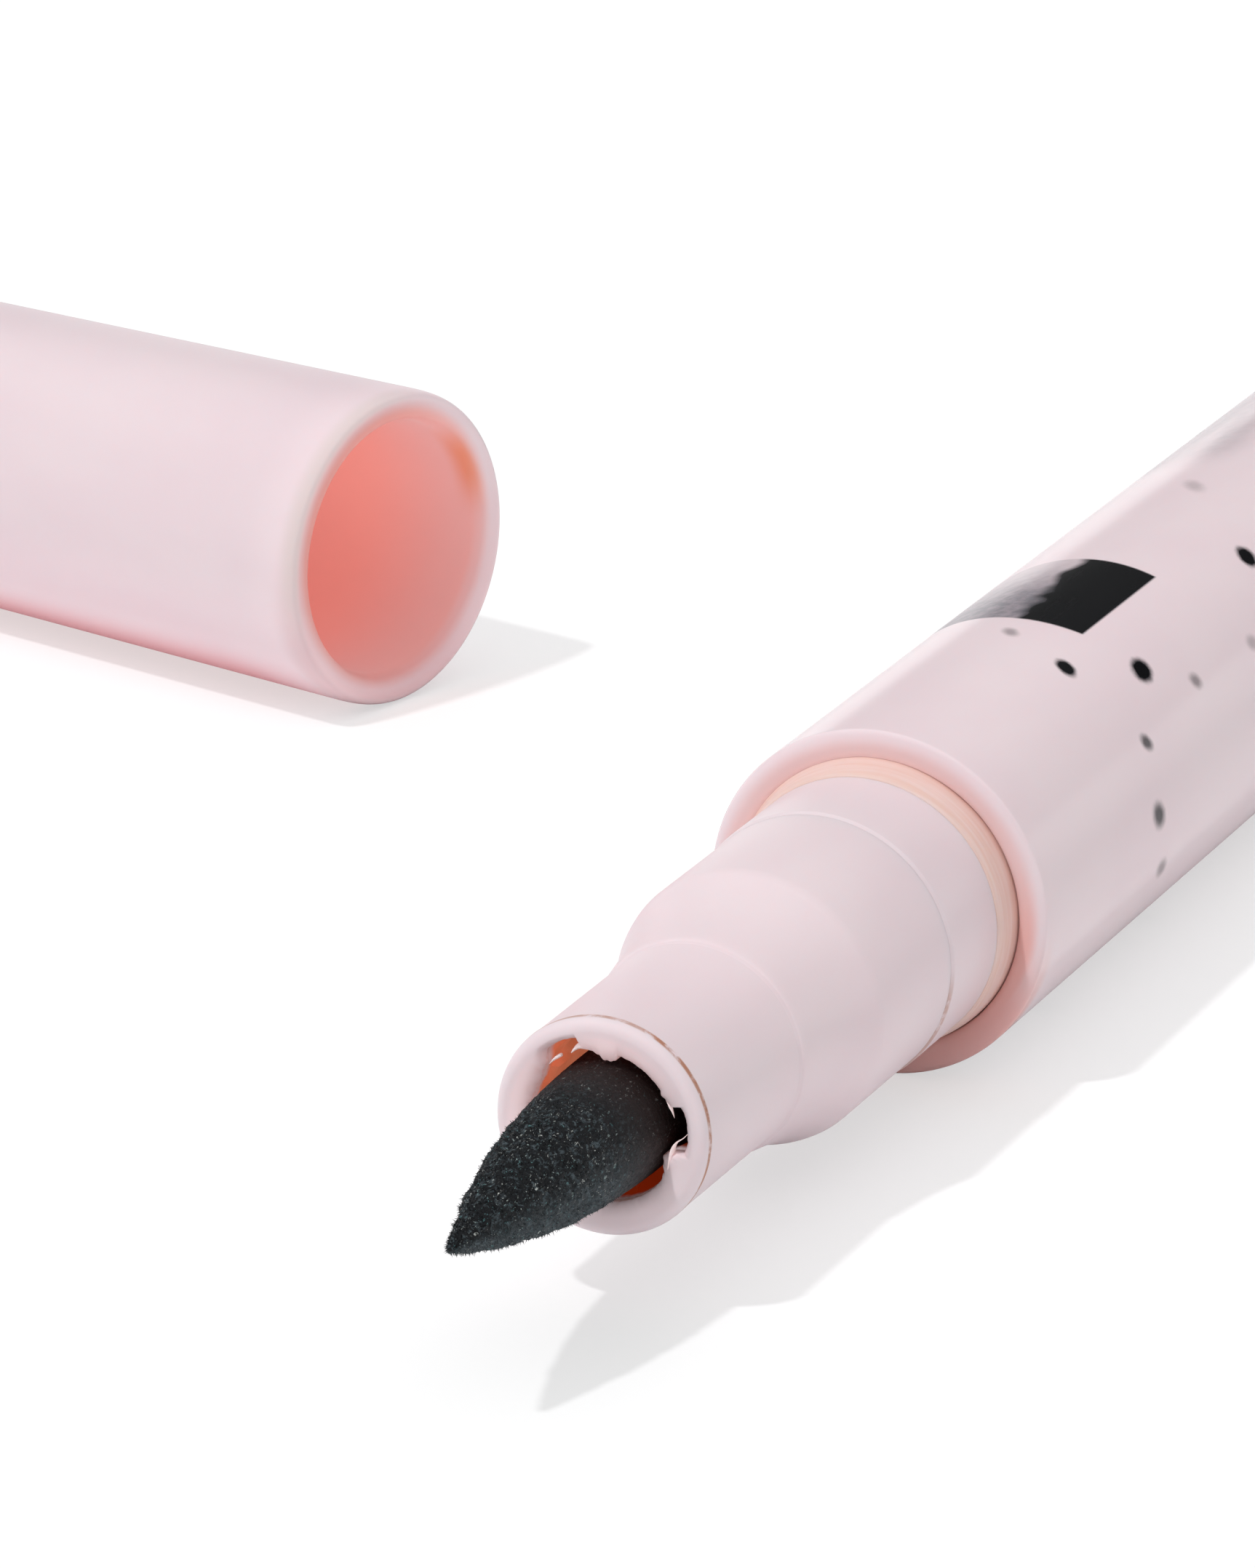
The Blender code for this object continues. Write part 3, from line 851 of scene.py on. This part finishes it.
def sliver_piece(name, slivers, place, sides=10, steps=24):
    """Thin tapered slivers, each an oval rod along its own curved path about the axis."""
    corners, faces = [], []
    for width, depth, path in slivers:
        run = smooth_run(path, steps // (len(path) - 1))
        rings = []
        for index, (along, radius, degrees_round) in enumerate(run):
            left = 1 - index / (len(run) - 1)
            thick = max(0.1, min(1, 1.5 * left) ** 0.8)
            rings.append(range(len(corners), len(corners) + sides))
            for step in range(sides):
                turn = 2 * pi * step / sides
                out = radius + width / 2 * thick * cos(turn)
                angle = radians(degrees_round)
                corners.append((out * cos(angle), out * sin(angle), along + depth * thick * sin(turn)))
        faces += [face for near, far in zip(rings, rings[1:]) for face in band(near, far)]
        faces += [tuple(rings[0]), tuple(rings[-1])]
    piece = new_piece(name, corners, faces, place)
    piece.data.shade_smooth()
    return piece


flash = sliver_piece("nib_holder_flash", flash_slivers, pen_place)


def dyed_share(at):
    """How far ink has dyed the holder, only behind the lip's torn edge, and the blotches in it."""
    blotches = noise_at(at["Place"], 1.3, 4, 0.65)
    behind = ramp(maths("MULTIPLY_ADD", blotches, 0.3, at["Along"]), *dye_behind_lip)
    return product(behind, ramp(at["Radius"], *dye_inside)), blotches


def dye_holder(at, colour):
    """Ink dyes the bore red. Painted light turns it orange on the side towards the lamp, and painted shade
    turns it dark red-brown deeper in.
    """
    share, blotches = dyed_share(at)
    # Painted light on the lamp's side, and painted shade deeper in the bore
    lit = fade(turned_off(at["Angle"], holder_lit_angle), 60, 100)
    deep = ramp(maths("MULTIPLY_ADD", blotches, 0.8, at["Along"]), *dye_shade_deepens)
    dyed = layered(dyed_red, (lit, mixed(blotches, *dyed_orange_lit)), (deep, dyed_brown_shade))
    return stained_at(holder_start, **mouth_stain)(at, mixed(share, colour, dyed))


def glow_holder(at):
    """Painted light, glowing as if daylight came through the holder's thin wall: most on the side towards the
    lamp.
    """
    share, blotches = dyed_share(at)
    off_lamp = turned_off(at["Angle"], holder_lit_angle)
    lit, beneath = fade(off_lamp, 55, 90), ramp(at["Angle"], -112, -122)
    light = layered(no_light, (lit, mixed(blotches, *dyed_glow)), (beneath, dyed_low_glow))
    # Painted light on the lip's inside, lifting the shade of the opening
    lip = product(fade(at["Radius"], 2.35, 2.95), fade(off_lamp, 70, 130, 0.2))
    return layered(no_light, (lip, holder_lip_glow), (share, light))


material = pink_plastic("dyed_pink_plastic", dye_holder, roughness=0.3, glow=glow_holder)
finish_piece(holder, material, "pen", "holder_plastic", "nib_holder")
material = pink_plastic("flash_pink_plastic")
# Painted light: the flash slivers glow faintly
paint_glow(material, flash_glow)
finish_piece(flash, material, "pen", "holder_plastic", "nib_holder")


# Nib
# A rod of bonded fibre, ground to a full point and soaked in black ink. Its ground end is rough, like felt,
# with glints painted onto its fibre ends. Nearer the holder it keeps the smoother skin of the rod.
nib_radius = 1.845
nib_tip = 29.53
nib_point_length = 11
nib_fullness = 2.1
nib_tip_round = 0.09
nib_back = -12.9
nib_bevel = 0.35
nib_rings = 250
nib_ring_start = 17.5
grain_size = 0.2
grain_height = 0.07
lump_size = 0.8
lump_height = 0.06
smooth_until = 20
rough_from = 23.5
least_rough = 0.12
fuzz_count = 4200
fuzz_length = 0.14
fuzz_half_width = 0.016
fuzz_root = 0.03
fuzz_from = 21
fuzz_grown_over = 4
fuzz_sides = (0, 1, 2), (0, 3, 1), (1, 3, 2), (2, 3, 0)
nib_black = tone(10, 13, 17)
# Felt grey, also used for the painted lighter underside
nib_grey = tone(76, 86, 91)
nib_brown = tone(34, 25, 24)
# Painted glint colours
glint_white = tone(186, 190, 186)
glint_teal = tone(84, 122, 124)

nib_straight_end = nib_tip - nib_tip_round
nib_point_start = nib_straight_end - nib_point_length


def nib_reach(along):
    share = max(0, (along - nib_point_start) / nib_point_length)
    last = (1 - nib_tip_round / nib_radius) ** (1 / nib_fullness)
    return nib_radius * (1 - (share * last) ** nib_fullness)


def nib_shape(along, radius, angle):
    """The ground fibre: grains and low lumps that grow towards the tip."""
    if along < nib_ring_start:
        return radius
    rough = min(1, max(least_rough, (along - smooth_until) / (rough_from - smooth_until)))
    spot = Vector((radius * cos(angle), radius * sin(angle), along))
    grain = noise.noise(spot / grain_size) + 0.6 * noise.noise(spot / (grain_size * 0.5))
    lump = noise.noise(spot / lump_size)
    rise = (grain * grain_height + lump * lump_height) * rough
    return radius + rise * min(1, radius / (3 * grain_size))


nib_outline = [(nib_back, 0), (nib_back, nib_radius - nib_bevel), (nib_back + nib_bevel, nib_radius)]
for step in range(nib_rings + 1):
    nib_along = nib_ring_start + (nib_straight_end - nib_ring_start) * step / nib_rings
    nib_outline.append((nib_along, nib_reach(nib_along)))
nib_outline += arc(nib_straight_end, 0, nib_tip_round, nib_tip_round, 0, 90, steps=5)[1:-1]
nib_outline.append((nib_tip, 0))
nib = turned("fibre_nib", nib_outline, pen_place, sides=288, shape=nib_shape)


def fibre_ends(name, place):
    """Loose fibre ends on the ground surface: small spikes that lean every way, sunk a little into it."""
    picker = random.Random(11)
    corners, faces = [], []
    for _ in range(fuzz_count):
        along = fuzz_from + (nib_straight_end - fuzz_from) * picker.random() ** 0.9
        angle = picker.uniform(-pi, pi)
        reach = nib_shape(along, nib_reach(along), angle)
        grown = min(1, 0.35 + (along - fuzz_from) / fuzz_grown_over)
        root = Vector((reach * cos(angle), reach * sin(angle), along))
        out = Vector((cos(angle), sin(angle), 0.3))
        lean = Vector([picker.uniform(-0.9, 0.9) for _ in range(3)])
        point = root + (out + lean).normalized() * fuzz_length * grown * picker.uniform(0.35, 1)
        root -= out.normalized() * fuzz_root
        side = out.cross(Vector((0, 0, 1))).normalized() * fuzz_half_width
        ahead = out.cross(side).normalized() * fuzz_half_width
        start = len(corners)
        corners += [root + side, root - side * 0.5 + ahead * 0.87, root - side * 0.5 - ahead * 0.87, point]
        faces += [tuple(start + corner for corner in side) for side in fuzz_sides]
    return new_piece(name, corners, faces, place)


fuzz = fibre_ends("fibre_nib_fuzz", pen_place)

material, shader, at = new_finish("inked_nib_fibre")
along = at["Along"]
felt = noise_at(at["Place"], 5.2, 3, 0.75, 0.25)
# Painted light: the underside is painted lighter grey, as if lit from below
beneath = ramp(at["Turn"], 60, 120, 0, 0.5)
felt_colour = mixed(maths("ADD", ramp(felt, 0.5, 0.7), beneath), nib_black, nib_grey)
smooth_colour = mixed(ramp(along, 20, 23), nib_brown, nib_black)
fibres = streaks_at(at["Place"], 14, 8, roughness=0.6, distortion=0.6)
# Painted glints: white and teal specks in the colour of the ground end
glint_share = product(ramp(fibres, 0.62, 0.71), ramp(along, 20, 25, 0.25, 1))
glint = mixed(ramp(noise_at(at["Place"], 1.3), 0.42, 0.58), glint_white, glint_teal)
colour = layered(smooth_colour, (ramp(along, smooth_until, rough_from), felt_colour), (glint_share, glint))
felt_height = product(felt, ramp(along, 20, 24.5, 0.25, 1))
give_skin(shader, colour, ramp(felt, 0.3, 0.7, 0.5, 0.8), felt_height, strength=1, depth=0.12)
fill(shader, {"Specular IOR Level": 0.3})
finish_piece(nib, material, "pen", "nib_fibre", "nib")
finish_piece(fuzz, material, "pen", "nib_fibre", "nib")


# Tail plug
# A cup of the same pink plastic that closes the barrel's tail. Its thin wall is pressed into the bore, and
# its flat flange, with a rounded rim, meets the barrel's end.
plug_flange_radius = 5.15
plug_wall_radius = 4.25
plug_inside_radius = 3.45
plug_front = -79
plug_seat = -85.05
plug_end = -87.05
plug_round = 0.5
plug_floor_round = 0.3
gate_radius = 0.7
gate_depth = 0.12
gate_round = 0.05

plug_outline = [(plug_end + gate_depth, 0)]
plug_outline += rounded([
    (plug_end + gate_depth, gate_radius, gate_round),
    (plug_end, gate_radius, gate_round),
    (plug_end, plug_flange_radius, plug_round),
    (plug_seat, plug_flange_radius, moulded_edge),
    (plug_seat, plug_wall_radius, 0),
    (plug_front, plug_wall_radius, moulded_edge),
    (plug_front, plug_inside_radius, moulded_edge),
    (plug_seat, plug_inside_radius, plug_floor_round),
    (plug_seat, 0, 0),
])
plug = turned("tail_plug_moulding", plug_outline, pen_place)
finish_piece(plug, pink_plastic("plug_pink_plastic"), "pen", "shell_plastic", "tail_plug")


# Cap shell
# The cap's outer tube, moulded in coral plastic and lacquered pale pink outside. The lacquer runs out over
# the half-round lip. It narrows a little towards its closed end, where it stands flat.
cap_length = 51
cap_end_radius = 4.69
cap_taper = 0.0107
cap_bore = 4.22
cap_ledge = 13.35
cap_inner_bore = 3.8
cap_floor = 49.6
cap_end_round = 0.6
cap_corner_round = 0.8
# The lip's outline, along and radius: a long soft curve outside, and a shorter one into the bore
cap_lip = (
    (1.3, 5.24), (0.5, 5.24), (0.07, 5.18), (-0.09, 5.05), (-0.15, 4.84), (-0.11, 4.57), (0.04, 4.36),
    (0.4, 4.24), (0.8, 4.22),
)
coral = tone(232, 150, 139), tone(228, 140, 129)
# Painted rosy shade for the underside and the lip's lower part
rosy_painted_shade = tone(228, 172, 175)
# Paler tone for one side of the lip
pale_lip_tone = tone(218, 204, 200)
# Painted light: an orange crescent inside the mouth
painted_orange_crescent = tone(226, 122, 70)
# Painted shade over the top and sides
cap_top_shade_tint = (0.955, 0.955, 0.96, 1)
# Painted light: glows that stand for daylight through the cap's wall
bore_glow = (0.315, 0.173, 0.153, 1)
mouth_glow = (0.165, 0.155, 0.155, 1)
crescent_glow = (0.14, 0.06, 0.02, 1)
red_rim_glow = (0.09, 0.02, 0.01, 1)
pale_rim_glow = (0.12, 0.1, 0.1, 1)
low_rim_glow = (0.06, 0, 0, 1)
low_side_glow = (0.055, 0.026, 0.033, 1)
underside_glow = (0.13, 0.065, 0.065, 1)
cap_side_angle = 132
crescent_angle = 62
lip_to_bore = 4.34, 4.86
lit_bore = 4.3, 4.62
lip_lean = 0.3

cap_place = axis_place("cap_end", cap_length, 1)
cap_end_middle = cap_length - cap_end_round, cap_end_radius - cap_end_round
cap_corner_middle = cap_floor - cap_corner_round, cap_inner_bore - cap_corner_round
cap_outline = [(cap_length, 0)]
cap_outline += arc(*cap_end_middle, cap_end_round, cap_end_round, 90, 0)
cap_outline += smooth_run(cap_lip)
cap_outline += [(cap_ledge, cap_bore), (cap_ledge, cap_inner_bore)]
cap_outline += arc(*cap_corner_middle, cap_corner_round, cap_corner_round, 0, 90)
cap_outline += [(cap_floor, 0)]
cap = turned("cap_shell_moulding", cap_outline, cap_place, sides=256)


def cap_side(at):
    """From -1 on one side of the cap to 1 on the other."""
    return maths("COSINE", maths("RADIANS", maths("SUBTRACT", at["Angle"], cap_side_angle)))


def before_closed_end(at):
    return fade(at["Along"], 46, 50.2)


def bore_share(at, start, end, lean=0):
    """How far a point is in the bore: it fades across the lip from the radius start to end, which are
    smaller by lean on one side and larger by lean on the other."""
    level = maths("MULTIPLY_ADD", at["Along"], cap_taper, at["Radius"])
    leaning = product(cap_side(at), ramp(at["Along"], 0.2, 0.8, lean, 0))
    return product(fade(maths("ADD", level, leaning), start, end), fade(at["Along"], 49.8, 50.4))


def crescent_light_share(at):
    """A painted orange crescent of light on one side of the mouth, just inside the lip."""
    side = ramp(turned_off(at["Angle"], crescent_angle), 4, 30, 0.65, 0)
    return product(side, fade(at["Along"], 0.3, 1.2), fade(at["Radius"], 4.3, 4.6))


def colour_cap(at, colour):
    """Pink lacquer outside and bare coral plastic in the bore, with a soft change over the lip. Painted rosy
    shade on the lip's lower part and along the underside, painted shade over the top and sides, a paler band
    on one side of the lip, and painted light inside the mouth."""
    along, turn = at["Along"], at["Turn"]
    # Painted shade: a little darker over the top and sides
    painted_top_shade = product(fade(turn, 100, 130), ramp(along, 0.5, 2.5), before_closed_end(at))
    colour = mixed(painted_top_shade, colour, cap_top_shade_tint, "MULTIPLY")
    # Painted shade: rosier along the underside and on the lip's lower part
    beneath = product(ramp(turn, 122, 146), ramp(along, 0.5, 4, 0.3, 0.9), before_closed_end(at))
    lip = product(ramp(along, 0.1, 1.1, 0.35, 0), ramp(turn, 60, 130))
    # Paler on one side of the lip's outer edge
    pale_band = product(ramp(along, 0.1, 0.7, 0.6, 0), ramp(at["Radius"], 4.88, 5.08))
    pale_band = product(pale_band, ramp(cap_side(at), -0.35, -0.85))
    bare = mixed(noise_at(at["Place"], 0.4), *coral)
    # Painted light: the bore paler and rosier towards the mouth
    bare = layered(bare, (ramp(along, 1, 6, 0.35, 0), rose_pink), (crescent_light_share(at), painted_orange_crescent))
    # Mirrors show little of the coral
    mirrored = add_node("ShaderNodeLightPath", tree=colour.id_data).outputs["Is Glossy Ray"]
    bore = product(bore_share(at, *lip_to_bore, lip_lean), fade(mirrored, 0, 1, 0.2))
    rosy_shade = maths("MAXIMUM", beneath, lip)
    return layered(colour, (rosy_shade, rosy_painted_shade), (pale_band, pale_lip_tone), (bore, bare))


def glow_cap(at):
    """Painted light, glowing as if daylight came through the cap's wall: into its bore, paler towards the
    mouth, over the lip, and along the low side and the underside."""
    along, radius, turn = at["Along"], at["Radius"], at["Turn"]
    inside = product(bore_share(at, *lit_bore), fade(along, 16, 28, 0.3), fade(turn, 70, 150, 0.7))
    rim = product(fade(along, -0.1, 0.6), fade(radius, 4.92, 5.15))
    rim_light = mixed(ramp(cap_side(at), -0.8, -0.1), red_rim_glow, pale_rim_glow)
    rim_light = mixed(ramp(turn, 125, 160, 0, 0.5), rim_light, low_rim_glow)
    light = mixed(ramp(along, 0.5, 5.5), mouth_glow, bore_glow)
    light = layered(light, (rim, rim_light), (crescent_light_share(at), crescent_glow))
    outside = product(ramp(radius, 4.64, 4.68), ramp(along, 0.3, 1.2), before_closed_end(at))
    return layered(
        no_light,
        (maths("MAXIMUM", inside, rim), light),
        (product(outside, ramp(turn, 85, 112)), low_side_glow),
        (product(outside, ramp(turn, 140, 165)), underside_glow),
    )


material = pink_plastic("cap_pink_lacquer", colour_cap, roughness=0.36, glow=glow_cap)
finish_piece(cap, material, "cap", "shell_plastic", "cap_shell")


# Cap liner
# The inner cup, a separate coral moulding that closes on the nose and keeps the nib from drying. It hangs
# by its flange on the ledge in the cap's bore, and its mouth is opened out to lead the nose in.
liner_mouth = 12.6
liner_flange_back = 13.3
liner_bottom = 30.6
liner_floor = 29.9
liner_bore = 3.2
liner_outside = 3.68
liner_flange_radius = 4.1
liner_lead = 0.8
liner_lead_growth = 0.3
liner_end_round = 0.4
liner_floor_round = 0.5

liner_outline = [(liner_bottom, 0)]
liner_outline += rounded([
    (liner_bottom, liner_outside, liner_end_round),
    (liner_flange_back, liner_outside, 0),
    (liner_flange_back, liner_flange_radius, moulded_edge),
    (liner_mouth, liner_flange_radius, moulded_edge),
    (liner_mouth, liner_bore + liner_lead_growth, moulded_edge),
    (liner_mouth + liner_lead, liner_bore, moulded_edge),
    (liner_floor, liner_bore, liner_floor_round),
    (liner_floor, 0, 0),
])
liner = turned("cap_liner_cup", liner_outline, cap_place)

material, shader, at = new_finish("coral_liner_plastic")
inputs = {"Place": at["Place"], "Colour": coral[0], "Cloud Colour": coral[1], "Roughness": 0.35}
skin = use_group(moulded_skin, inputs)
give_skin(shader, skin["Colour"], skin["Roughness"], skin["Height"], strength=0.3, depth=0.01)
finish_piece(liner, material, "cap", "liner_plastic", "cap_liner")


# Studio
# A plain white table, brighter to the camera than to the pen, low pale walls, a dim room above them, a
# bright ceiling, and one small high lamp, which throws the shadows. The camera looks down at 19 degrees.
# Places are in metres.
floor_half = 3
floor_whites = (0.93, 0.935, 0.94, 1), (0.96, 0.965, 0.97, 1)
table_shine = 1.12
table_shine_share = 0.5
wall_light = 1.1
room_light = 0.13
ceiling_light = 0.84
lamp_from = Vector((-2.55, 1.47, 5.25))
lamp_strength = 1.4
lamp_softness = 3
camera_place = Vector((-0.24942, -0.12584, 0.09067))
camera_aim = Vector((-0.00814, -0.01906, 0))
camera_lens = 200.37
film_width = 36

floor_mesh = bpy.data.meshes.new("floor")
floor_corners = [(x * floor_half, y * floor_half, 0) for x, y in ((-1, -1), (1, -1), (1, 1), (-1, 1))]
floor_mesh.from_pydata(floor_corners, [], [(0, 1, 2, 3)])
floor = new_object("floor", floor_mesh)
material, shader, at = new_finish("white_floor")
tree = material.node_tree
whites = mixed(noise_at(at["Place"], 5), *floor_whites)
fill(shader, {"Base Color": whites, "Roughness": 1, "Specular IOR Level": 0})
shine = add_node("ShaderNodeEmission", {"Color": (1, 1, 1, 1), "Strength": table_shine}, tree)
seen = product(add_node("ShaderNodeLightPath", tree=tree).outputs["Is Camera Ray"], table_shine_share)
both = add_node("ShaderNodeMixShader", {0: seen, 1: shader.outputs[0], 2: shine.outputs[0]})
fill(tree.nodes["Material Output"], {"Surface": both.outputs[0]})
floor.data.materials.append(material)

world = bpy.data.worlds.new("studio_room")
world.use_nodes = True
facing = add_node("ShaderNodeTexCoord", tree=world.node_tree).outputs["Generated"]
height = add_node("ShaderNodeSeparateXYZ", {0: facing}).outputs[2]
walls_and_room = ramp(height, 0.2, 0.23, wall_light, room_light)
ceiling = ramp(height, 0.45, 0.9, 0, ceiling_light)
room = {"Color": (1, 1, 1, 1), "Strength": maths("ADD", walls_and_room, ceiling)}
fill(world.node_tree.nodes["Background"], room)
bpy.context.scene.world = world

lamp = bpy.data.lights.new("high_lamp", "SUN")
lamp.energy = lamp_strength
lamp.angle = radians(lamp_softness)
lamp_object = new_object("high_lamp", lamp)
lamp_object.rotation_mode = "QUATERNION"
lamp_object.rotation_quaternion = lamp_from.to_track_quat("Z", "Y")
lamp_object.visible_glossy = False

camera = bpy.data.cameras.new("camera")
camera.sensor_width = film_width
camera.lens = camera_lens
camera.clip_start = 0.01
camera.clip_end = 20
camera_object = new_object("camera", camera)
camera_object.location = camera_place
camera_object.rotation_mode = "QUATERNION"
camera_object.rotation_quaternion = (camera_aim - camera_place).to_track_quat("-Z", "Y")
bpy.context.scene.camera = camera_object
bpy.context.scene.view_settings.view_transform = "Standard"
